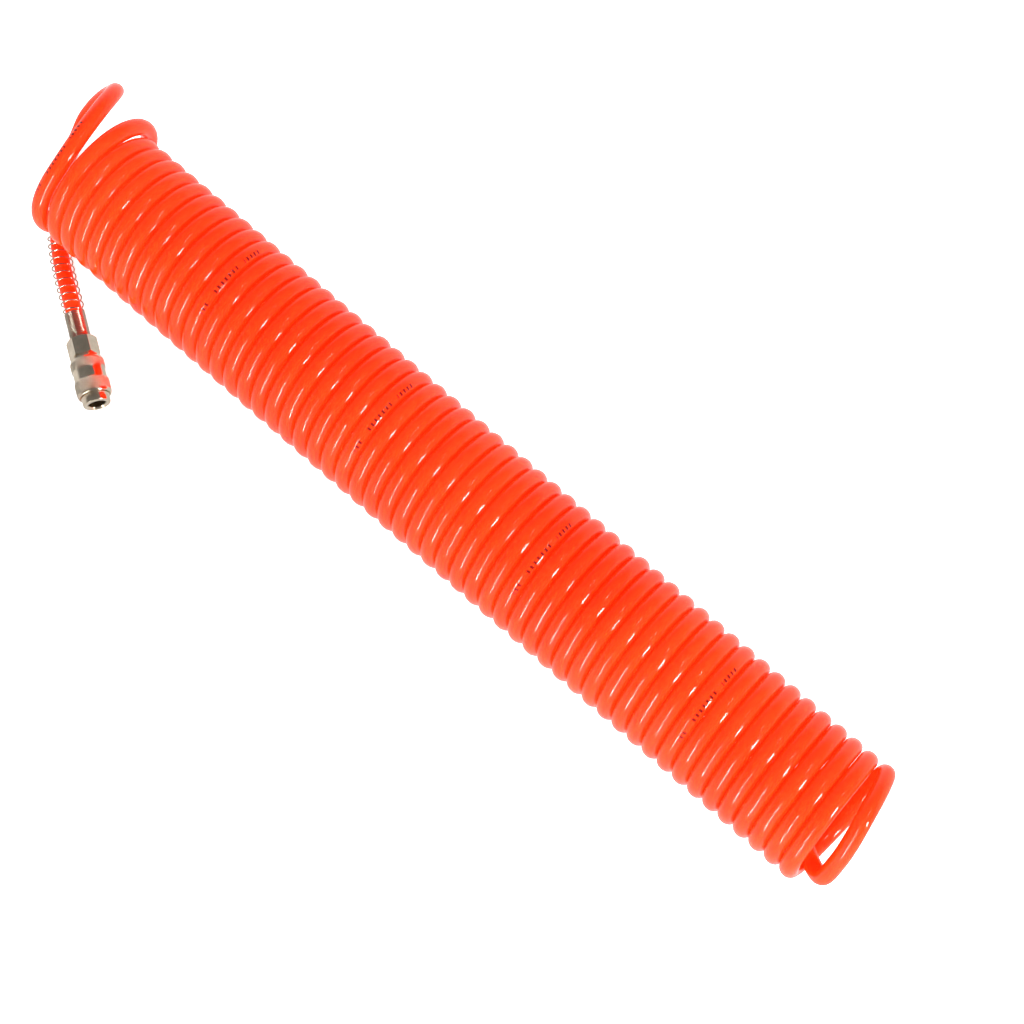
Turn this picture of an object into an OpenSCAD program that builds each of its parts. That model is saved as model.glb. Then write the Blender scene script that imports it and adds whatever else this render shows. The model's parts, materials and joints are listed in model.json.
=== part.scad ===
// Recoil air hose: a close-wound polyurethane hose with a quick coupler on one end and a plug on the other.
// Frame: +X runs along the coil from the coupler end to the plug end, +Z is up, the floor is at z = 0 and
// the origin is on the floor under the middle of the whole hose. Millimetres.

/* [Hose] */
// Outside diameter of the hose
hose_od = 12; // [11.8:0.1:12.2]
// Bore of the hose
hose_id = 8; // [7.6:0.1:8]
// Diameter of the coil at the middle of the hose
coil_mean_d = 86.8; // [86:0.2:88]
// Distance from one turn to the next
coil_pitch = 13; // [12.9:0.05:13.1]
// Radial thickness of the hose where it is wound
wound_thickness = 11.3; // [11:0.1:11.6]
// Length of the close-wound part
coil_length = 652; // [640:1:652]

/* [Coupler] */
// Turn of the coupler about the vertical, from +X
coupler_turn = -32; // [-34:1:-30]
// Outside radius of the release sleeve's front band
sleeve_r = 12.35; // [12.2:0.05:12.4]
// Travel of the release sleeve
sleeve_travel = 5; // [4:0.5:5]
// Travel of the valve poppet
valve_travel = 4; // [2:0.5:4]
// Number of locking balls
ball_count = 4; // [4:1:4]
// Diameter of a locking ball
ball_d = 3.5; // [3.5:0.1:3.5]
// Radius of the mouth that takes a plug
mouth_r = 6.1; // [6.05:0.05:6.15]

/* [Plug] */
// Radius of the plug's guide land
plug_r = 6; // [5.9:0.05:6]
// Radius of the plug's tip
plug_tip_r = 3.95; // [3.8:0.05:3.95]

/* [Union nut and spring guard] */
// Width across the flats of the union nut
nut_af = 19; // [18:0.5:19]
// Length of the union nut
nut_length = 14; // [14:0.5:14]
// Wire diameter of the spring guard
guard_wire_d = 1.2; // [1:0.1:1.2]
// Turns in the close-wound part of the spring guard
guard_close_turns = 17; // [15:1:17]
// Turns in the open part of the spring guard
guard_open_turns = 11; // [9:1:11]

/* [Hidden] */
$fn = 96;

hose_r = hose_od / 2;
hose_orange = [1, 0.25, 0.12];
nickel = [0.72, 0.69, 0.64];
steel = [0.66, 0.63, 0.59];
black_rubber = [0.08, 0.08, 0.08];

// The coil. A place on the hose is counted in turns from the top end of the first loose turn.
coil_r = coil_mean_d / 2;
coil_first_x = -329;
coil_y = 26;
coil_z = coil_r + wound_thickness / 2;
loose_turns = 2;
far_spread = 16.2;
near_bulge = 3.8;
end_lean = 28.5;
last_turn_from = 52.9;
rings_per_turn = 10;

// Where the coupler and the plug lie: the middle of each union nut's rear face
coupler_at = [-255, -57, 12.4];
plug_at = [226, coil_y, 23];
plug_turn = 180;

// Places along a fitting, from the union nut's rear face towards the mouth or the tip
guard_seat = 3;
guard_close_from = -21;
guard_open_from = -83;
hose_shoulder = 7;
stem_tip = -9;
guard_close_r = 6.9;
guard_open_r = 7.6;
thread_pitch = 1;

// The coupler's own places
cup_from = 14.6;
cup_to = 22.5;
cup_r = 10.8;
sleeve_from = 16.6;
sleeve_to = 44;
spring_chamber_r = 10.9;
body_from = 17.6;
body_r = 8.7;
ball_at = 38;
ball_out_r = 7.85;
ball_in_r = 7;
ramp_slope = (ball_out_r - ball_in_r) / sleeve_travel;
ramp_r_at_ball = ball_out_r + ball_d / 2 * sqrt(1 + ramp_slope * ramp_slope) + 0.05;
land_from = 30;
ramp_from = 32.7;
ramp_to = ball_at + 0.6;
nose_from = ramp_to + sleeve_travel + 0.1;
nose_to = 50.5;
seat_at = 29;
chamber_r = 6.4;

// The hose's tail behind the coupler: one smooth bend inside the open guard, then these points back to the coil
tail_end = [-326, -10, 8.2];
tail_heading = [-13, 12, 0];
tail_handle = 21;
tail_route = [[-338, 0.5, 6.8], [-350, 13, 6.2], [-360, 27, 6.2], [-367, 42, 6.2], [-372, 56, 7.5],
  [-374.5, 66, 12.5], [-372.5, 75, 21.5], [-366.5, 82.5, 34]];
// The last turn and the way from it into the coil's bore
last_turn_route = [[363, 64, 71], [367.5, 46, 86.5], [371, 28.5, 91.5], [374, 13.5, 81], [375, 2, 62],
  [373, -6, 41]];
plug_route = [[373, -6, 41], [362.5, -1, 26.5], [347.5, 8.5, 23.4], [333.5, 19.5, 23], [319, 25.4, 23],
  [307, 26, 23]];

function unit(v) = v / norm(v);
function forward(turn) = [cos(turn), sin(turn), 0];
function on_axis(at, turn, s) = at + s * forward(turn);
function coupler_axis(s) = on_axis(coupler_at, coupler_turn, s);
function plug_axis(s) = on_axis(plug_at, plug_turn, s);

// The centre of the hose after that many turns of an even coil
function even_coil(turns) = [coil_first_x + coil_pitch * turns, coil_y + coil_r * cos(360 * turns),
  coil_z + coil_r * sin(360 * turns)];

// The same for the two loose turns. They spread on the far side, the outer one bulges a little on the near
// side, and its end leans back.
function spread(turns) = far_spread * (1 - pow(turns / loose_turns, 1.3)) * (1 + cos(360 * turns)) / 2;
function bulge(turns) = near_bulge * pow(sin(180 * min(1, max(0, (0.98 - turns) / 0.8))), 2);
function lean(turns) = end_lean * pow(max(0, 1 - turns / 0.34), 1.6);
function loose_coil(turns) = let (p = even_coil(turns))
  [p.x - bulge(turns) - lean(turns), p.y + spread(turns), max(hose_r, p.z)];

// A point on the smooth bend of the tail, from 0 at the close-wound guard to 1 at its free end
function tail_bend(t) = let (
    a = coupler_axis(guard_close_from),
    b = a - tail_handle * forward(coupler_turn),
    d = tail_end,
    c = d - tail_handle * unit(tail_heading),
    q = 1 - t)
  q * q * q * a + 3 * q * q * t * b + 3 * q * t * t * c + t * t * t * d;

function heading(p, i) = unit(p[min(i + 1, len(p) - 1)] - p[max(i - 1, 0)]);
function carried(p, i = 0, last = [0.1, 0.2, 1]) = i == len(p) ? [] :
  let (t = heading(p, i), n = unit(last - (last * t) * t)) concat([n], carried(p, i + 1, n));

// A round tube along the points p, closed at both ends
module tube(p, r, sides) {
  n = carried(p);
  points = [for (i = [0 : len(p) - 1]) let (b = cross(heading(p, i), n[i]))
    for (k = [0 : sides - 1]) p[i] + r * (cos(360 * k / sides) * n[i] + sin(360 * k / sides) * b)];
  walls = [for (i = [0 : len(p) - 2], k = [0 : sides - 1]) let (m = (k + 1) % sides)
    each [[i * sides + k, (i + 1) * sides + k, i * sides + m],
      [i * sides + m, (i + 1) * sides + k, (i + 1) * sides + m]]];
  first = [for (k = [0 : sides - 1]) k];
  last = [for (k = [sides - 1 : -1 : 0]) (len(p) - 1) * sides + k];
  polyhedron(points, concat(walls, [first, last]), convexity = 8);
}

module place(at, turn) translate(at) rotate([0, 0, turn]) children();
module on_coupler() place(coupler_at, coupler_turn) children();
module on_plug() place(plug_at, plug_turn) children();

// A turned shape about the local X axis. The outline's points are [radius, place along X].
module turned(outline) rotate([0, 90, 0]) rotate_extrude() polygon(outline);
module rod(r, from, to) translate([from, 0, 0]) rotate([0, 90, 0]) cylinder(r = r, h = to - from);
module ring(r, wire_r, at) translate([at, 0, 0]) rotate([0, 90, 0]) rotate_extrude()
  translate([r, 0]) circle(r = wire_r, $fn = 32);

// A compression spring along the local X axis
module coil_spring(r, wire_d, from, to, turns) {
  steps = 12 * turns;
  tube([for (i = [0 : steps]) let (a = 30 * i)
    [from + wire_d / 2 + (to - from - wire_d) * i / steps, r * cos(a), r * sin(a)]], wire_d / 2, 6);
}

// --- Hose ---

module hose_coil() {
  color(hose_orange)
    translate([coil_first_x + loose_turns * coil_pitch, coil_y, coil_z]) rotate([0, 90, 0])
      rotate_extrude($fn = 128)
        translate([coil_r - wound_thickness / 2, 0]) square([wound_thickness, coil_length]);
}

module hose_loose_loops() {
  color(hose_orange)
    tube([for (i = [0 : loose_turns * rings_per_turn]) loose_coil(i / rings_per_turn)], hose_r, 12);
}

module hose_coupler_tail() {
  color(hose_orange)
    tube(concat([coupler_axis(stem_tip - 1)], [for (t = [0 : 1 / 3 : 1]) tail_bend(t)], tail_route,
      [loose_coil(0)]), hose_r, 12);
}

// The straight end of the hose over the fitting's stem
module hose_end() {
  difference() {
    rod(hose_r, stem_tip - 1, hose_shoulder);
    rod(hose_id / 2, stem_tip - 2, hose_shoulder + 1);
  }
}

module hose_coupler_end() {
  color(hose_orange) on_coupler() hose_end();
}

module hose_last_turn() {
  color(hose_orange)
    tube(concat([even_coil(last_turn_from), even_coil(last_turn_from + 0.1)], last_turn_route), hose_r, 12);
}

module hose_plug_tail() {
  color(hose_orange)
    tube(concat(plug_route, [plug_axis(-55), plug_axis(-30), plug_axis(stem_tip - 1)]), hose_r, 12);
}

module hose_plug_end() {
  color(hose_orange) on_plug() hose_end();
}

// --- Union nut and spring guard, the same on both ends ---

// The guard's wire, wound close at the nut and open behind it. bend(t) gives the open part's middle line.
guard_steps = 10;
guard_turns = guard_close_turns + guard_open_turns;
function guard_wire(centre) = [for (i = [0 : guard_turns * guard_steps]) let (
    turns = i / guard_steps,
    open = max(0, turns - guard_close_turns),
    close_s = (guard_seat - guard_wire_d / 2) - min(turns, guard_close_turns)
      * (guard_seat - guard_wire_d / 2 - guard_close_from) / guard_close_turns,
    t = open / guard_open_turns,
    r = guard_close_r + (guard_open_r - guard_close_r) * min(1, open),
    c = open > 0 ? centre[1][i - guard_close_turns * guard_steps] : centre[0] + close_s * centre[2],
    next = open > 0 && t < 1 ? centre[1][i - guard_close_turns * guard_steps + 1] : c - centre[2],
    along = t < 1 ? unit(next - c) : unit(c - centre[1][len(centre[1]) - 2]),
    side = unit(cross(along, [0, 0, 1])),
    up = cross(side, along),
    a = 360 * turns)
  c + r * (cos(a) * side + sin(a) * up)];

module spring_guard(at, turn, open_line) {
  color(steel) tube(guard_wire([at, open_line, forward(turn)]), guard_wire_d / 2, 6);
}

module coupler_spring_guard() {
  spring_guard(coupler_at, coupler_turn,
    [for (i = [0 : guard_open_turns * guard_steps]) tail_bend(i / (guard_open_turns * guard_steps))]);
}

module plug_spring_guard() {
  spring_guard(plug_at, plug_turn, [for (i = [0 : guard_open_turns * guard_steps])
    plug_axis(guard_close_from + (guard_open_from - guard_close_from) * i / (guard_open_turns * guard_steps))]);
}

nut_bore_r = 7.05;
nut_throat_r = 6.3;
guard_pocket_r = 7.7;
module union_nut() {
  corner_r = nut_af / sqrt(3);
  difference() {
    intersection() {
      rotate([30, 0, 0]) rotate([0, 90, 0]) cylinder(r = corner_r, h = nut_length, $fn = 6);
      turned([[0, 0], [corner_r - 1.3, 0], [corner_r, 0.9], [corner_r, nut_length - 0.9],
        [corner_r - 1.6, nut_length], [0, nut_length]]);
    }
    rod(guard_pocket_r, -1, guard_seat + 0.2);
    rod(nut_throat_r, 0, nut_length);
    rod(nut_bore_r, hose_shoulder - 1, nut_length + 1);
  }
}

module coupler_union_nut() {
  color(nickel) on_coupler() union_nut();
}

module plug_union_nut() {
  color(nickel) on_plug() union_nut();
}

// The stem with two barbs and the thread that takes the union nut
stem_bore_r = 3;
thread_r = 7;
function stem_outline() = [[stem_bore_r, stem_tip], [hose_id / 2 - 0.5, stem_tip], [hose_id / 2, stem_tip + 2],
  [hose_id / 2, hose_shoulder], [thread_r - 0.6, hose_shoulder], [thread_r, hose_shoulder + 0.6],
  [thread_r, nut_length + 0.1]];

// --- Coupler ---

module coupler_adapter() {
  color(nickel) on_coupler() turned(concat(stem_outline(), [[cup_r - 1.2, nut_length + 0.1],
    [cup_r, cup_from + 0.4], [cup_r, cup_to], [body_r, cup_to], [body_r, body_from], [stem_bore_r, body_from]]));
}

groove_in_r = 7.6;
module coupler_body() {
  color(nickel) on_coupler() difference() {
    turned([[chamber_r, body_from], [groove_in_r - 0.1, body_from], [groove_in_r - 0.1, body_from + 1.9],
      [body_r, body_from + 1.9], [body_r, nose_from], [10, nose_from], [10, nose_from + 1], [9.1, nose_from + 1.6],
      [9.1, nose_from + 2.5], [9.85, nose_from + 3.1], [9.85, nose_to - 1.2], [9.5, nose_to - 0.35],
      [8.9, nose_to], [mouth_r + 0.9, nose_to], [mouth_r, nose_to - 0.9], [mouth_r, seat_at + 4.6],
      [7.2, seat_at + 4.6], [7.2, seat_at + 2], [4.4, seat_at + 2], [4.4, seat_at], [chamber_r, seat_at]]);
    for (k = [0 : ball_count - 1]) rotate([45 + 90 * k, 0, 0])
      translate([ball_at, 0, 4]) cylinder(r = ball_d / 2 + 0.05, h = body_r, $fn = 48);
  }
}

module body_o_ring() {
  color(black_rubber) on_coupler() ring(groove_in_r + 0.5, 0.48, body_from + 0.95);
}

module plug_seal() {
  color(black_rubber) on_coupler() turned([[4.05, seat_at + 2.3], [7.1, seat_at + 2.1], [7.1, seat_at + 4.5],
    [4.05, seat_at + 4.3]]);
}

function ramp_r(s) = ramp_r_at_ball + ramp_slope * (s - ball_at);
module release_sleeve() {
  color(nickel) on_coupler() turned([[spring_chamber_r, sleeve_from], [11.3, sleeve_from],
    [12.05, sleeve_from + 1.9], [12.05, sleeve_from + 7.6], [11.45, sleeve_from + 8.3],
    [11.45, sleeve_to - 11.2], [sleeve_r, sleeve_to - 10.4], [sleeve_r, sleeve_to - 2.2],
    [sleeve_r - 0.5, sleeve_to - 0.6], [sleeve_r - 1.1, sleeve_to], [10.9, sleeve_to],
    [10.6, sleeve_to - 0.3], [10.6, ramp_to], [ramp_r(ramp_to), ramp_to], [ramp_r(ramp_from), ramp_from],
    [body_r + 0.05, ramp_from], [body_r + 0.05, land_from], [spring_chamber_r, land_from]]);
}

module sleeve_spring() {
  color(steel) on_coupler() coil_spring(9.8, 1.1, cup_to + 0.05, land_from - 0.05, 4);
}

module locking_ball(k) {
  color(steel) on_coupler() rotate([45 + 90 * (k - 1), 0, 0])
    translate([ball_at, 0, ball_out_r]) sphere(d = ball_d, $fn = 48);
}

poppet_from = 24;
poppet_face = seat_at - 0.9;
module valve_poppet() {
  color(nickel) on_coupler() difference() {
    union() {
      rod(3.2, poppet_from - 2.3, poppet_from);
      rod(5.7, poppet_from, poppet_face - 1.4);
      rod(3.4, poppet_face - 1.4, poppet_face);
      rod(4.3, poppet_face, poppet_face + 1);
      rod(3.4, poppet_face + 1, seat_at + 4);
    }
    rod(2.2, poppet_face + 1.6, seat_at + 5);
    for (turn = [0, 90]) rotate([turn, 0, 0]) translate([seat_at + 1, -0.9, -5]) cube([5, 1.8, 10]);
  }
}

module valve_seal() {
  color(black_rubber) on_coupler()
    turned([[3.45, poppet_face - 1.35], [5.6, poppet_face - 1.35], [5.6, seat_at - 0.05], [4.45, seat_at - 0.05],
      [4.45, poppet_face - 0.05], [3.45, poppet_face - 0.05]]);
}

module valve_spring() {
  color(steel) on_coupler() coil_spring(4.5, 0.6, body_from + 0.05, poppet_from - 0.05, 2.5);
}

// --- Plug ---

plug_hex_af = 17;
module plug_body() {
  color(nickel) on_plug() difference() {
    union() {
      turned(concat([[0, stem_tip]], [for (p = stem_outline()) if (p.x > stem_bore_r) p],
        [[0, nut_length + 0.1]]));
      rotate([0, 90, 0]) translate([0, 0, nut_length + 0.1])
        cylinder(r = plug_hex_af / sqrt(3), h = 5.9, $fn = 6);
      turned([[0, 20], [7.4, 20], [7.4, 21.5], [plug_r, 21.5], [plug_r, 30], [5.1, 30.5], [5.1, 34],
        [plug_r - 0.05, 34.6], [plug_r - 0.05, 35.6], [plug_tip_r, 36.6], [plug_tip_r, 40.7],
        [plug_tip_r - 0.5, 41.2], [0, 41.2]]);
    }
    rod(2.6, stem_tip - 1, 42);
  }
}

hose_coil();
hose_loose_loops();
hose_coupler_tail();
hose_coupler_end();
hose_last_turn();
hose_plug_tail();
hose_plug_end();
coupler_spring_guard();
coupler_union_nut();
coupler_adapter();
coupler_body();
body_o_ring();
plug_seal();
release_sleeve();
sleeve_spring();
locking_ball(1);  // locking_ball_1
locking_ball(2);  // locking_ball_2
locking_ball(3);  // locking_ball_3
locking_ball(4);  // locking_ball_4
valve_poppet();
valve_seal();
valve_spring();
plug_spring_guard();
plug_union_nut();
plug_body();
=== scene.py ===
# The looks of a close-wound recoil air hose with a quick coupler and a plug: its hose, wire guards, knurled
# sleeve, materials, light and camera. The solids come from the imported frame. All lengths here are in metres.
import json
import math

import bmesh
import bpy
from mathutils import Matrix, Vector


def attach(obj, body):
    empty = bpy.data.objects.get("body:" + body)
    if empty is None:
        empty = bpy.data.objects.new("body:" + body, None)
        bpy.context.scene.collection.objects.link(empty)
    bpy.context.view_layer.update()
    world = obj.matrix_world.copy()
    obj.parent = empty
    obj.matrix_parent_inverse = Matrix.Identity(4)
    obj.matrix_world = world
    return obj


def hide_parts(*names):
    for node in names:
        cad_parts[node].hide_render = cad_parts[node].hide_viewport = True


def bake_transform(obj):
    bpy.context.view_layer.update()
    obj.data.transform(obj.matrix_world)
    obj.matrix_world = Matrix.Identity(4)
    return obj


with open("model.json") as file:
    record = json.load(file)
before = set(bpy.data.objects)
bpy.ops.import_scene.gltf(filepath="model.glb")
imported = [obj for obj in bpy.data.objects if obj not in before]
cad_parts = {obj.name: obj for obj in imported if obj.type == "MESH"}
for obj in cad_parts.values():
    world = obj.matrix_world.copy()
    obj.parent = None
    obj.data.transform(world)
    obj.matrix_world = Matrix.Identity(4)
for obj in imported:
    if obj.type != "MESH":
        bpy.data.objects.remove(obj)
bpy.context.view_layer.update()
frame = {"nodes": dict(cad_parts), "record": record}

MM = 0.001
TURN = 2 * math.pi

# --- Sizes and places, as in the CAD model ---

HOSE_R = 6 * MM
HOSE_BORE_R = 4 * MM
COIL_R = 43.4 * MM
COIL_PITCH = 13 * MM
COIL_FIRST_X = -329 * MM
COIL_Y = 26 * MM
COIL_Z = 49.05 * MM
LOOSE_TURNS = 2
FAR_SPREAD = 16.2 * MM
NEAR_BULGE = 3.8 * MM
END_LEAN = 28.5 * MM
# The loose turns: how the spread fades, where the bulge ends and its length in turns, and the lean's length in
# turns and how it fades
SPREAD_FADE = 1.3
BULGE_END = 0.98
BULGE_TURNS = 0.8
LEAN_TURNS = 0.34
LEAN_FADE = 1.6
LAST_TURN_FROM = 52.9
# Half the hose's width in the coil, along the coil and across it: winding flattens it a little
WOUND_WIDE = 6.45 * MM
WOUND_THICK = 5.65 * MM

COUPLER_AT = Vector((-255, -57, 12.4)) * MM
COUPLER_TURN = math.radians(-32)
PLUG_AT = Vector((226, 26, 23)) * MM
PLUG_TURN = math.pi
GUARD_SEAT = 3 * MM
GUARD_CLOSE_FROM = -21 * MM
GUARD_OPEN_FROM = -83 * MM
HOSE_SHOULDER = 7 * MM
STEM_TIP = -9 * MM

TAIL_END = Vector((-326, -10, 8.2)) * MM
TAIL_HEADING = Vector((-13, 12, 0)).normalized()
TAIL_HANDLE = 21 * MM
TAIL_ROUTE = [(-338, 0.5, 6.8), (-350, 13, 6.2), (-360, 27, 6.2), (-367, 42, 6.2), (-372, 56, 7.5),
              (-374.5, 66, 12.5), (-372.5, 75, 21.5), (-366.5, 82.5, 34)]
LAST_TURN_ROUTE = [(363, 64, 71), (367.5, 46, 86.5), (371, 28.5, 91.5), (374, 13.5, 81), (375, 2, 62),
                   (373, -6, 41), (362.5, -1, 26.5), (347.5, 8.5, 23.4), (333.5, 19.5, 23), (319, 25.4, 23),
                   (307, 26, 23)]

RINGS_PER_TURN = 44
HOSE_SIDES = 22
ROUTE_STEP = 3 * MM
STRAIGHT_POINTS = 9
BEND_POINTS = 20
UNWIND_POINTS = 20
PLUG_STRAIGHT_POINTS = 12
PLUG_STRAIGHT_FROM = -55 * MM
# How wound the hose is where its tail meets the first loose turn
ENTRY_WOUND = 0.6


def forward(turn):
    return Vector((math.cos(turn), math.sin(turn), 0))


def coupler_axis(s):
    return COUPLER_AT + s * forward(COUPLER_TURN)


def plug_axis(s):
    return PLUG_AT + s * forward(PLUG_TURN)


def even_coil(turns):
    """The centre of the hose after that many turns of an even coil."""
    a = TURN * turns
    x = COIL_FIRST_X + COIL_PITCH * turns
    return Vector((x, COIL_Y + COIL_R * math.cos(a), COIL_Z + COIL_R * math.sin(a)))


def loose_coil(turns):
    """The same for the loose turns. They spread on the far side, and the outer one bulges and leans back."""
    spread = FAR_SPREAD * (1 - (turns / LOOSE_TURNS) ** SPREAD_FADE) * (1 + math.cos(TURN * turns)) / 2
    bulge = NEAR_BULGE * math.sin(math.pi * min(1, max(0, (BULGE_END - turns) / BULGE_TURNS))) ** 2
    lean = END_LEAN * max(0, 1 - turns / LEAN_TURNS) ** LEAN_FADE
    p = even_coil(turns)
    return Vector((p.x - bulge - lean, p.y + spread, max(HOSE_R, p.z)))


def tail_bend(t):
    """A point on the coupler tail's smooth bend, from 0 at the close-wound guard to 1 at its free end."""
    a = coupler_axis(GUARD_CLOSE_FROM)
    b = a - TAIL_HANDLE * forward(COUPLER_TURN)
    c = TAIL_END - TAIL_HANDLE * TAIL_HEADING
    q = 1 - t
    return q**3 * a + 3 * q * q * t * b + 3 * q * t * t * c + t**3 * TAIL_END


def smooth_route(points, step):
    """Points a step apart on a centripetal Catmull-Rom curve through all but the first and last point."""
    out = []
    for p0, p1, p2, p3 in zip(points, points[1:], points[2:], points[3:]):
        t1 = (p1 - p0).length ** 0.5
        t2 = t1 + (p2 - p1).length ** 0.5
        t3 = t2 + (p3 - p2).length ** 0.5
        count = max(2, round((p2 - p1).length / step))
        for i in range(count):
            t = t1 + (t2 - t1) * i / count
            a1 = p0 * (t1 - t) / t1 + p1 * t / t1
            a2 = p1 * (t2 - t) / (t2 - t1) + p2 * (t - t1) / (t2 - t1)
            a3 = p2 * (t3 - t) / (t3 - t2) + p3 * (t - t2) / (t3 - t2)
            b1 = a1 * (t2 - t) / t2 + a2 * t / t2
            b2 = a2 * (t3 - t) / (t3 - t1) + a3 * (t - t1) / (t3 - t1)
            out.append(b1 * (t2 - t) / (t2 - t1) + b2 * (t - t1) / (t2 - t1))
    out.append(points[-2].copy())
    return out


def hose_route():
    """The hose's centre line: points, each with how wound it is and its share of the stretch, both 0 to 1."""
    straight = [coupler_axis(HOSE_SHOULDER + (GUARD_CLOSE_FROM - HOSE_SHOULDER) * i / STRAIGHT_POINTS)
                for i in range(STRAIGHT_POINTS)]
    bend = [tail_bend(i / BEND_POINTS) for i in range(BEND_POINTS)]
    route = [(p, 0, 0) for p in straight + bend]
    # smooth_route leaves out its first and last point, so each stretch has one to spare at both ends
    tail = [tail_bend(0.95), TAIL_END] + [Vector(p) * MM for p in TAIL_ROUTE]
    tail += [loose_coil(0), loose_coil(0.08)]
    tail_points = smooth_route(tail, ROUTE_STEP)
    route += [(p, ENTRY_WOUND * i / len(tail_points), 0) for i, p in enumerate(tail_points[:-1])]
    for i in range(LOOSE_TURNS * RINGS_PER_TURN):
        wound = min(1, ENTRY_WOUND + (1 - ENTRY_WOUND) * i / RINGS_PER_TURN)
        route.append((loose_coil(i / RINGS_PER_TURN), wound, 0))
    wound_turns = LAST_TURN_FROM - LOOSE_TURNS
    rings = round(wound_turns * RINGS_PER_TURN)
    route += [(even_coil(LOOSE_TURNS + wound_turns * i / rings), 1, i / rings) for i in range(rings)]
    end = [even_coil(LAST_TURN_FROM + turns) for turns in (-0.02, 0, 0.1)]
    end += [Vector(p) * MM for p in LAST_TURN_ROUTE] + [plug_axis(PLUG_STRAIGHT_FROM), plug_axis(-30 * MM)]
    end_points = smooth_route(end, ROUTE_STEP)[:-1]
    route += [(p, max(0, 1 - i / UNWIND_POINTS), 1) for i, p in enumerate(end_points)]
    plug_straight = HOSE_SHOULDER - PLUG_STRAIGHT_FROM
    route += [(plug_axis(PLUG_STRAIGHT_FROM + plug_straight * i / PLUG_STRAIGHT_POINTS), 0, 1)
              for i in range(PLUG_STRAIGHT_POINTS + 1)]
    return route


# --- Mesh building ---

def carried_frames(points):
    """For each point a direction across the line and its partner, carried along so that they don't twist."""
    frames = []
    normal = Vector((0.1, 0.2, 1))
    for i in range(len(points)):
        heading = (points[min(i + 1, len(points) - 1)] - points[max(i - 1, 0)]).normalized()
        normal = (normal - normal.dot(heading) * heading).normalized()
        frames.append((normal.copy(), heading.cross(normal)))
    return frames


def new_object(name, bm, material, smooth=True):
    mesh = bpy.data.meshes.new(name)
    bm.to_mesh(mesh)
    bm.free()
    mesh.polygons.foreach_set("use_smooth", [smooth] * len(mesh.polygons))
    mesh.materials.append(material)
    obj = bpy.data.objects.new(name, mesh)
    bpy.context.scene.collection.objects.link(obj)
    return obj


def skin(bm, rings, uv=None, along=None):
    """Quads between rings of vertices. uv runs along the line in metres and once round it."""
    for i in range(len(rings) - 1):
        count = len(rings[i])
        for k in range(count):
            m = (k + 1) % count
            face = bm.faces.new((rings[i][k], rings[i][m], rings[i + 1][m], rings[i + 1][k]))
            if uv is not None:
                places = ((i, k), (i, k + 1), (i + 1, k + 1), (i + 1, k))
                for loop, (ring, side) in zip(face.loops, places):
                    loop[uv].uv = (along[ring], side / count)


def wire(name, points, radius, sides, material):
    """A round wire along the points, closed at both ends with a small dome."""
    bm = bmesh.new()
    frames = carried_frames(points)
    rings = []
    for p, (n, b) in zip(points, frames):
        spokes = [TURN * k / sides for k in range(sides)]
        rings.append([bm.verts.new(p + radius * (math.cos(a) * n + math.sin(a) * b)) for a in spokes])
    skin(bm, rings)
    for ring, p, q in ((rings[0], points[0], points[1]), (rings[-1], points[-1], points[-2])):
        tip = bm.verts.new(p + (p - q).normalized() * radius * 0.5)
        for k in range(sides):
            bm.faces.new((ring[k], ring[(k + 1) % sides], tip))
    bmesh.ops.recalc_face_normals(bm, faces=bm.faces)
    return new_object(name, bm, material)


def turned(name, profile, sides, material, relief=None):
    """A turned ring on the coupler's axis from a closed outline of (radius, place along it).
    relief(angle, place) is how far a point of a marked stretch sinks."""
    bm = bmesh.new()
    axis = forward(COUPLER_TURN)
    up = Vector((0, 0, 1))
    side = axis.cross(up)
    rings = []
    for radius, place, marked in profile:
        ring = []
        for k in range(sides):
            a = TURN * k / sides
            r = radius - (relief(a, place) if marked else 0)
            ring.append(bm.verts.new(coupler_axis(place) + r * (math.cos(a) * up + math.sin(a) * side)))
        rings.append(ring)
    skin(bm, rings + [rings[0]])
    bmesh.ops.recalc_face_normals(bm, faces=bm.faces)
    return new_object(name, bm, material)


# --- Materials ---

class Look:
    """A node material under construction."""

    def __init__(self, name):
        self.material = bpy.data.materials.new(name)
        self.material.use_nodes = True
        self.tree = self.material.node_tree
        self.shader = self.tree.nodes["Principled BSDF"]

    def node(self, kind, inputs=None, **settings):
        made = self.tree.nodes.new(kind)
        for key, value in settings.items():
            setattr(made, key, value)
        for key, value in (inputs or {}).items():
            self.give(made.inputs[key], value)
        return made

    def give(self, socket, value):
        if isinstance(value, bpy.types.NodeSocket):
            self.tree.links.new(value, socket)
        else:
            socket.default_value = value

    def set(self, **values):
        for key, value in values.items():
            self.give(self.shader.inputs[key.replace("_", " ")], value)

    def math(self, operation, a, b=0.0, c=0.0):
        made = self.node("ShaderNodeMath", {0: a, 1: b, 2: c}, operation=operation)
        return made.outputs[0]

    def noise(self, scale, detail):
        made = self.node("ShaderNodeTexNoise", {"Scale": scale, "Detail": detail})
        self.give(made.inputs["Vector"], self.node("ShaderNodeTexCoord").outputs["Object"])
        return made.outputs["Fac"]

    def ramp(self, fac, stops):
        made = self.node("ShaderNodeValToRGB", {"Fac": fac})
        elements = made.color_ramp.elements
        while len(elements) < len(stops):
            elements.new(0.5)
        for element, (place, color) in zip(elements, stops):
            element.position = place
            element.color = (*color, 1)
        return made.outputs["Color"]

    def mix(self, fac, a, b):
        made = self.node("ShaderNodeMix", data_type="RGBA")
        self.give(made.inputs["Factor"], fac)
        self.give(made.inputs[6], a)
        self.give(made.inputs[7], b)
        return made.outputs[2]

    def bump(self, height, distance, strength=1.0, normal=None):
        made = self.node("ShaderNodeBump", {"Height": height, "Distance": distance, "Strength": strength})
        if normal is not None:
            self.give(made.inputs["Normal"], normal)
        return made.outputs["Normal"]


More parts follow.
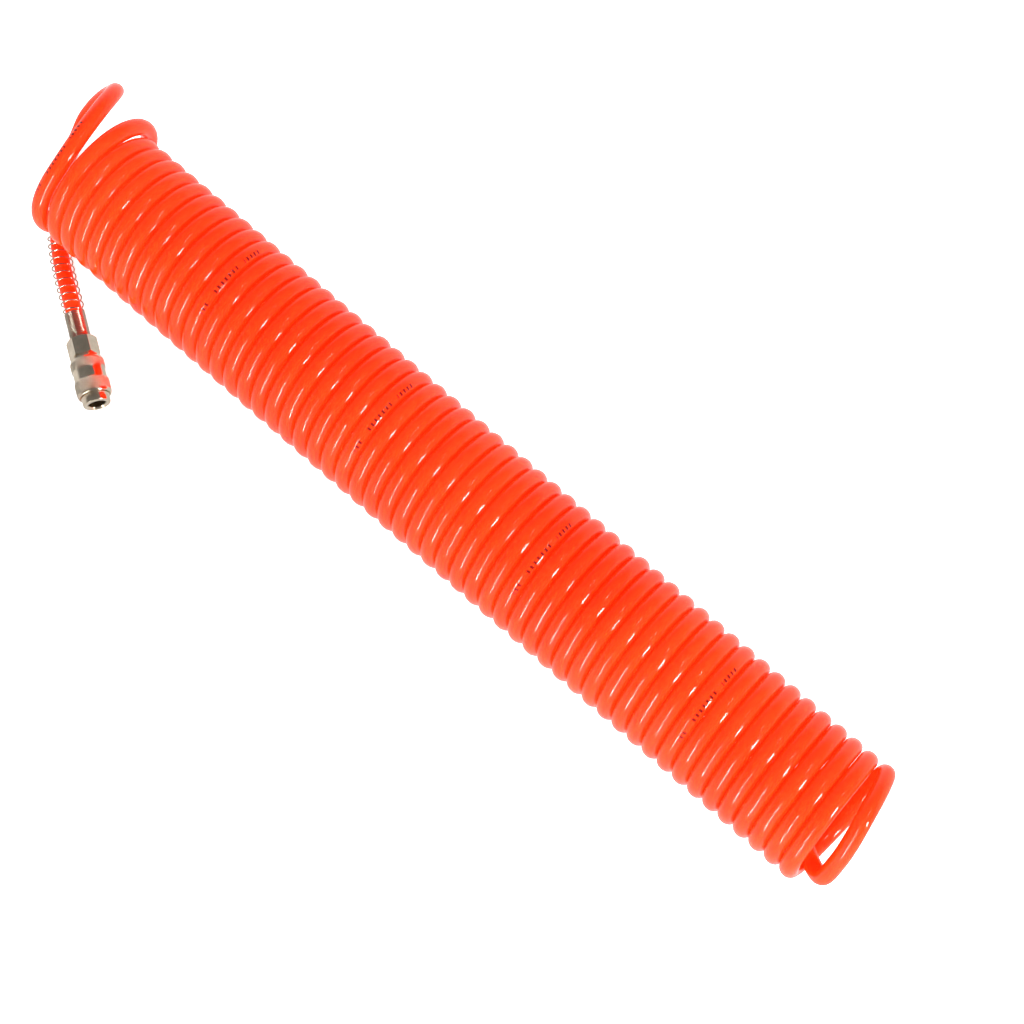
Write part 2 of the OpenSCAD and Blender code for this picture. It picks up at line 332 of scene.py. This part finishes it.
# The print: one place where it starts, how far apart it repeats, its three runs of ticks, a tick's pitch, and
# its place round the hose and half its width, in turns round it
PRINT_FIRST_TURN = 22.15
PRINT_EVERY = 1.001
PRINT_GROUPS = [(0.0, 0.014), (0.020, 0.043), (0.049, 0.057)]
PRINT_TICK = 0.0033
PRINT_AROUND = 0.913
PRINT_HALF_BAND = 0.040
# Up to that length the hose is turned this much round its own line, so its print lies on the coil's end there
PRINT_TURNED = -0.87
PRINT_TURNED_UNTIL = 0.9
# Painted glow: the hose gives off its own colour as light. This stands in for light scattered inside the hose
# wall, so the grooves stay red instead of falling into shade
HOSE_PAINTED_GLOW = 0.38

# The hose's line, and the length of hose up to each of its points
ROUTE = hose_route()
LINE = [p for p, _, _ in ROUTE]
ALONG = [0.0]
for one, other in zip(LINE, LINE[1:]):
    ALONG.append(ALONG[-1] + (other - one).length)
PRINT_AT = even_coil(PRINT_FIRST_TURN)
PRINT_START = ALONG[min(range(len(LINE)), key=lambda i: (LINE[i] - PRINT_AT).length)]


def hose_look():
    """Glossy orange-red polyurethane that light soaks into, with a painted glow of its own colour that keeps
    its shaded grooves red, and plain printed ticks once each metre.
    """
    look = Look("polyurethane_orange")
    uv = look.node("ShaderNodeUVMap", uv_map="HoseUV").outputs["UV"]
    parts = look.node("ShaderNodeSeparateXYZ", {0: uv})
    along, around = parts.outputs["X"], parts.outputs["Y"]
    cloud = look.noise(9.0, 2.0)
    body = look.ramp(cloud, [(0.35, (0.93, 0.027, 0.003)), (0.65, (0.98, 0.037, 0.0045))])
    since_print = look.math("SUBTRACT", along, PRINT_START)
    metre = look.math("FRACT", look.math("DIVIDE", since_print, PRINT_EVERY))
    place = look.math("MULTIPLY", metre, PRINT_EVERY)
    printed = 0.0
    for start, end in PRINT_GROUPS:
        after = look.math("GREATER_THAN", place, start)
        before = look.math("LESS_THAN", place, end)
        printed = look.math("ADD", printed, look.math("MULTIPLY", after, before))
    tick = look.math("LESS_THAN", look.math("FRACT", look.math("DIVIDE", place, PRINT_TICK)), 0.5)
    near_start = look.math("LESS_THAN", along, PRINT_TURNED_UNTIL)
    middle = look.math("MULTIPLY_ADD", near_start, PRINT_TURNED, PRINT_AROUND)
    off = look.math("ABSOLUTE", look.math("SUBTRACT", around, middle))
    in_band = look.math("LESS_THAN", off, PRINT_HALF_BAND)
    printed = look.math("MULTIPLY", printed, look.math("MULTIPLY", tick, in_band))
    worn = look.math("MULTIPLY_ADD", look.noise(1400.0, 2.0), 0.4, 0.7)
    color = look.mix(look.math("MULTIPLY", printed, worn), body, (0.09, 0.004, 0.004, 1))
    rough = look.math("MULTIPLY_ADD", look.noise(900.0, 2.0), 0.02, 0.014)
    look.set(Base_Color=color, Roughness=rough, IOR=1.5, Specular_IOR_Level=0.32,
             Subsurface_Weight=0.55, Subsurface_Scale=0.007)
    look.shader.inputs["Subsurface Radius"].default_value = (1.0, 0.10, 0.03)
    # Painted glow: the surface emits its own colour, as if lit from inside, so the shade in the grooves stays
    # red
    look.set(Emission_Color=color, Emission_Strength=HOSE_PAINTED_GLOW)
    look.set(Normal=look.bump(look.noise(160.0, 2.0), 0.00002, 0.06))
    return look.material


def metal_look(name, dark, light, roughness, wear=0.0):
    """Turned or drawn metal: cloudy tint, fine turning marks and softened edges."""
    look = Look(name)
    cloud = look.noise(60.0, 3.0)
    tint = look.ramp(cloud, [(0.3, dark), (0.7, light)])
    fine = look.noise(2520.0, 2.0)
    speck = look.math("GREATER_THAN", look.noise(2600.0, 1.0), 0.67)
    color = look.mix(look.math("MULTIPLY", speck, wear), tint, (*(0.5 * c for c in dark), 1))
    rough = look.math("MULTIPLY_ADD", cloud, 0.08, roughness - 0.04)
    rounded = look.node("ShaderNodeBevel", {"Radius": 0.00025}, samples=4).outputs["Normal"]
    look.set(Base_Color=color, Metallic=1.0, Roughness=rough,
             Normal=look.bump(fine, 0.00001, 0.35, rounded))
    return look.material


def rubber_look():
    look = Look("nitrile_rubber")
    fac = look.noise(700.0, 4.0)
    color = look.ramp(fac, [(0.3, (0.030, 0.021, 0.014)), (0.7, (0.055, 0.040, 0.028))])
    look.set(Base_Color=color, Roughness=look.math("MULTIPLY_ADD", fac, 0.2, 0.42),
             Normal=look.bump(fac, 0.00004, 0.5))
    return look.material


HOSE = hose_look()
NICKEL = metal_look("nickel_turned", (0.60, 0.50, 0.38), (0.82, 0.71, 0.56), 0.14, wear=0.2)
WIRE = metal_look("spring_wire", (0.38, 0.31, 0.24), (0.58, 0.50, 0.41), 0.13, wear=0.2)
BALL = metal_look("bearing_steel", (0.62, 0.62, 0.63), (0.72, 0.72, 0.72), 0.1)
BRASS = metal_look("turned_brass", (0.55, 0.36, 0.13), (0.70, 0.50, 0.22), 0.25, wear=0.2)
RUBBER = rubber_look()


# --- Camera ---

def make_camera():
    target = Vector((61.2, 42.7, 45)) * MM
    azimuth = math.radians(42.066)
    elevation = math.radians(71.469)
    distance = 1.7049
    look = Vector((-math.sin(azimuth) * math.cos(elevation), math.cos(azimuth) * math.cos(elevation),
                   -math.sin(elevation)))
    data = bpy.data.cameras.new("camera")
    data.lens = 89.41
    data.sensor_width = 36
    camera = bpy.data.objects.new("camera", data)
    camera.location = target - distance * look
    camera.rotation_euler = look.to_track_quat("-Z", "Y").to_euler()
    bpy.context.scene.collection.objects.link(camera)
    bpy.context.scene.camera = camera


make_camera()


# --- Hose ---

def make_hose():
    """One tube from shoulder to shoulder, with its wall and its bore at both ends."""
    bm = bmesh.new()
    uv = bm.loops.layers.uv.new("HoseUV")
    weight = bm.verts.layers.float.new("stretch")
    spokes = [TURN * k / HOSE_SIDES for k in range(HOSE_SIDES)]

    def ring(at, across, beside, thick, wide, share):
        made = [bm.verts.new(at + thick * math.cos(a) * across + wide * math.sin(a) * beside)
                for a in spokes]
        for vert in made:
            vert[weight] = share
        return made

    rings = []
    frames = coil_frames(LINE, [w for _, w, _ in ROUTE])
    for (p, wound, share), (across, beside) in zip(ROUTE, frames):
        thick = HOSE_R + (WOUND_THICK - HOSE_R) * wound
        wide = HOSE_R + (WOUND_WIDE - HOSE_R) * wound
        rings.append(ring(p, across, beside, thick, wide, share))
    skin(bm, rings, uv, ALONG)
    for end, inner in ((0, coupler_axis(STEM_TIP)), (-1, plug_axis(STEM_TIP))):
        across, beside = frames[end]
        share = ROUTE[end][2]
        mouth = ring(LINE[end], across, beside, HOSE_BORE_R, HOSE_BORE_R, share)
        depth = ring(inner, across, beside, HOSE_BORE_R, HOSE_BORE_R, share)
        skin(bm, [rings[end], mouth, depth], uv, [ALONG[end]] * 3)
        bm.faces.new(depth)
    bmesh.ops.recalc_face_normals(bm, faces=bm.faces)
    hose = new_object("hose", bm, HOSE)
    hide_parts("hose_coil", "hose_loose_loops", "hose_coupler_tail", "hose_coupler_end",
                "hose_last_turn", "hose_plug_tail", "hose_plug_end")
    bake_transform(hose)
    # The share of the stretch written into every ring is not kept: the attribute is removed again here
    hose.data.attributes.remove(hose.data.attributes["stretch"])
    return hose


def coil_frames(points, wound):
    """For each point the direction away from the coil's axis and the one beside it. In the tails they are
    carried on from the coil, so that the section never twists."""
    headings = [(points[min(i + 1, len(points) - 1)] - points[max(i - 1, 0)]).normalized()
                for i in range(len(points))]
    full = [i for i, w in enumerate(wound) if w == 1]
    first, last = full[0], full[-1]
    across = [None] * len(points)

    def square(direction, heading):
        return (direction - direction.dot(heading) * heading).normalized()

    for i in range(first, last + 1):
        across[i] = square(Vector((0, points[i].y - COIL_Y, points[i].z - COIL_Z)), headings[i])
    for i in range(first - 1, -1, -1):
        across[i] = square(across[i + 1], headings[i])
    for i in range(last + 1, len(points)):
        across[i] = square(across[i - 1], headings[i])
    return [(a, h.cross(a)) for a, h in zip(across, headings)]


hose = make_hose()


# --- Wire guards and springs ---

GUARD_WIRE_R = 0.6 * MM
GUARD_CLOSE_R = 6.9 * MM
GUARD_OPEN_R = 7.6 * MM
GUARD_CLOSE_TURNS = 17
GUARD_OPEN_TURNS = 11
GUARD_STEPS = 32


def guard_line(at, turn, open_line):
    """The guard's wire: wound close at the nut, then open along open_line, which has one point a step."""
    seat = GUARD_SEAT - GUARD_WIRE_R
    heading = forward(turn)
    out = []
    for i in range((GUARD_CLOSE_TURNS + GUARD_OPEN_TURNS) * GUARD_STEPS + 1):
        turns = i / GUARD_STEPS
        if turns <= GUARD_CLOSE_TURNS:
            centre = at + (seat - turns * (seat - GUARD_CLOSE_FROM) / GUARD_CLOSE_TURNS) * heading
            along = -heading
        else:
            j = i - GUARD_CLOSE_TURNS * GUARD_STEPS
            centre = open_line[j]
            along = (open_line[min(j + 1, len(open_line) - 1)] - open_line[j - 1]).normalized()
        r = GUARD_CLOSE_R + (GUARD_OPEN_R - GUARD_CLOSE_R) * min(1, max(0, turns - GUARD_CLOSE_TURNS))
        side = along.cross(Vector((0, 0, 1))).normalized()
        a = TURN * turns
        out.append(centre + r * (math.cos(a) * side + math.sin(a) * side.cross(along)))
    return out


def make_guard(name, at, turn, open_line, body):
    guard = wire(name + "_wire", guard_line(at, turn, open_line), GUARD_WIRE_R, 12, WIRE)
    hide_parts(name)
    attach(guard, body)


def make_spring(name, r, wire_d, start, end, turns):
    """A spring of wire that stands on the coupler's axis, wound as a fixed coil from start to end."""
    steps = round(28 * turns)
    axis = forward(COUPLER_TURN)
    up = Vector((0, 0, 1))
    side = axis.cross(up)
    line = [coupler_axis(start + wire_d / 2 + (end - start - wire_d) * i / steps)
            + r * (math.cos(TURN * turns * i / steps) * up + math.sin(TURN * turns * i / steps) * side)
            for i in range(steps + 1)]
    spring = wire(name + "_wire", line, wire_d / 2, 10, WIRE)
    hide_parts(name)
    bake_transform(spring)


OPEN_STEPS = GUARD_OPEN_TURNS * GUARD_STEPS
make_guard("coupler_spring_guard", COUPLER_AT, COUPLER_TURN,
           [tail_bend(i / OPEN_STEPS) for i in range(OPEN_STEPS + 1)], "coupler_guard")
make_guard("plug_spring_guard", PLUG_AT, PLUG_TURN,
           [plug_axis(GUARD_CLOSE_FROM + (GUARD_OPEN_FROM - GUARD_CLOSE_FROM) * i / OPEN_STEPS)
            for i in range(OPEN_STEPS + 1)], "plug_guard")
make_spring("sleeve_spring", 9.8 * MM, 1.1 * MM, 22.55 * MM, 29.95 * MM, 4)
make_spring("valve_spring", 4.5 * MM, 0.6 * MM, 17.65 * MM, 23.95 * MM, 2.5)


# --- Release sleeve ---

SLEEVE_R = 12.35 * MM
KNURL_AROUND = 60
KNURL_DEPTH = 0.42 * MM
SLEEVE_SIDES = KNURL_AROUND * 8


def knurl(angle, place):
    """How far the surface sinks in a diamond knurl: two crossed families of grooves."""
    lead = place / (SLEEVE_R / KNURL_AROUND * TURN) * TURN
    right = abs(math.cos((KNURL_AROUND * angle + lead) / 2))
    left = abs(math.cos((KNURL_AROUND * angle - lead) / 2))
    return KNURL_DEPTH * max(right, left) ** 5


def sleeve_outline():
    """(radius, place, knurled) round the sleeve's section."""
    inside = [(10.9, 16.6), (10.9, 30), (8.75, 30), (8.75, 31.5), (8.597, 31.5), (9.803, 38.6),
              (10.6, 38.6), (10.6, 43.7), (10.9, 44)]
    front = [(11.25, 44), (11.55, 43.85), (11.85, 43.4), (12.15, 42.5), (12.35, 41.9)]
    back_band = [(11.45, 32.8), (11.45, 32.4), (11.45, 25.4), (11.45, 24.9), (12.05, 24.2)]
    rear = [(12.05, 18.5), (11.9, 17.9), (11.45, 16.85), (11.3, 16.6)]

    def band(r, start, end):
        steps = round((start - end) / 0.16)
        return [(r, start + (end - start) * i / steps, True) for i in range(steps + 1)]

    plain = [(r, s, False) for r, s in inside + front]
    section = plain + band(12.35, 41.8, 33.6) + [(12.35, 33.5, False)]
    section += [(r, s, False) for r, s in back_band]
    section += band(12.05, 24.1, 18.6) + [(r, s, False) for r, s in rear]
    return [(r * MM, s * MM, marked) for r, s, marked in section]


sleeve = turned("release_sleeve_knurled", sleeve_outline(), SLEEVE_SIDES, NICKEL, knurl)
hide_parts("release_sleeve")
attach(sleeve, "sleeve")


# --- CAD pieces that stay ---

LOOKS = {"nickel": NICKEL, "spring_steel": WIRE, "ball_steel": BALL, "brass": BRASS, "seal_rubber": RUBBER,
         "hose": HOSE}
for part in frame["record"]["subparts"]:
    node = frame["nodes"][part["node"]]
    node.data.materials.clear()
    node.data.materials.append(LOOKS[part["material_slot"]])


# --- Floor and light ---

FLOOR_HALF = 20.0
FLOOR_Z = -0.5 * MM
FLOOR_GLOW = 0.75
# Brightness of the surround up to the horizon and of the room above it, and how high the room starts
SURROUND = 0.8
ROOM = 0.2
ROOM_FROM = 0.35
LIGHT_DISTANCE = 5.0
LIGHT_CENTRE = Vector((0.02, 0.03, 0.05))


def make_floor():
    """A white table that glows a little, so that it stays as white as lit paper."""
    bm = bmesh.new()
    half = FLOOR_HALF
    places = ((-half, -half), (half, -half), (half, half), (-half, half))
    bm.faces.new([bm.verts.new((x, y, FLOOR_Z)) for x, y in places])
    look = Look("white_paper")
    fac = look.noise(3.0, 2.0)
    paper = look.ramp(fac, [(0.3, (0.93, 0.93, 0.93)), (0.7, (0.95, 0.95, 0.95))])
    look.set(Base_Color=paper, Roughness=0.9, Emission_Color=(1, 1, 1, 1), Emission_Strength=FLOOR_GLOW)
    floor = new_object("floor", bm, look.material, smooth=False)
    floor.visible_glossy = False
    floor.visible_shadow = False


def panel(name, azimuth, elevation, wide, high, radiance, mirrored=True, lean=0.0):
    """A flat light LIGHT_DISTANCE from LIGHT_CENTRE, at that azimuth and elevation, and that wide and high, all
    in degrees. A lamp that isn't mirrored gives soft light and no highlight."""
    a, e = math.radians(azimuth), math.radians(elevation)
    toward = Vector((math.cos(a) * math.cos(e), math.sin(a) * math.cos(e), math.sin(e)))
    data = bpy.data.lights.new(name, "AREA")
    data.shape = "RECTANGLE"
    data.size = 2 * LIGHT_DISTANCE * math.tan(math.radians(wide / 2))
    data.size_y = 2 * LIGHT_DISTANCE * math.tan(math.radians(high / 2))
    data.energy = radiance * math.pi * data.size * data.size_y
    light = bpy.data.objects.new(name, data)
    light.location = LIGHT_CENTRE + LIGHT_DISTANCE * toward
    turn = (-toward).to_track_quat("-Z", "Y") @ Matrix.Rotation(math.radians(lean), 3, "Z").to_quaternion()
    light.rotation_euler = turn.to_euler()
    light.visible_glossy = mirrored
    bpy.context.scene.collection.objects.link(light)


def make_world():
    """A dim room above a white surround."""
    world = bpy.data.worlds.new("studio")
    bpy.context.scene.world = world
    world.use_nodes = True
    tree = world.node_tree
    place = tree.nodes.new("ShaderNodeTexCoord")
    parts = tree.nodes.new("ShaderNodeSeparateXYZ")
    ramp = tree.nodes.new("ShaderNodeValToRGB")
    tree.links.new(place.outputs["Generated"], parts.inputs[0])
    tree.links.new(parts.outputs["Z"], ramp.inputs["Fac"])
    ramp.color_ramp.elements[0].position = 0.0
    ramp.color_ramp.elements[0].color = (SURROUND, SURROUND, SURROUND, 1)
    ramp.color_ramp.elements[1].position = ROOM_FROM
    ramp.color_ramp.elements[1].color = (ROOM, ROOM, ROOM, 1)
    tree.links.new(ramp.outputs["Color"], tree.nodes["Background"].inputs["Color"])
    tree.nodes["Background"].inputs["Strength"].default_value = 1.0


make_floor()
make_world()
panel("tall_strip", -73, 16, 3.2, 58, 58)
panel("side_box", 3, 20, 11, 16, 50)
panel("ceiling_line_1", 44, 60, 1.2, 16, 26, lean=35)
panel("ceiling_line_2", 54, 63, 1.0, 14, 20, lean=35)
panel("soft_overhead", -60, 72, 28, 28, 7, mirrored=False)
panel("soft_near", -70, 30, 24, 24, 3, mirrored=False)
panel("soft_far", 110, 28, 30, 24, 5, mirrored=False)
panel("soft_right", 20, 30, 24, 24, 2, mirrored=False)
bpy.context.scene.view_settings.view_transform = "Standard"
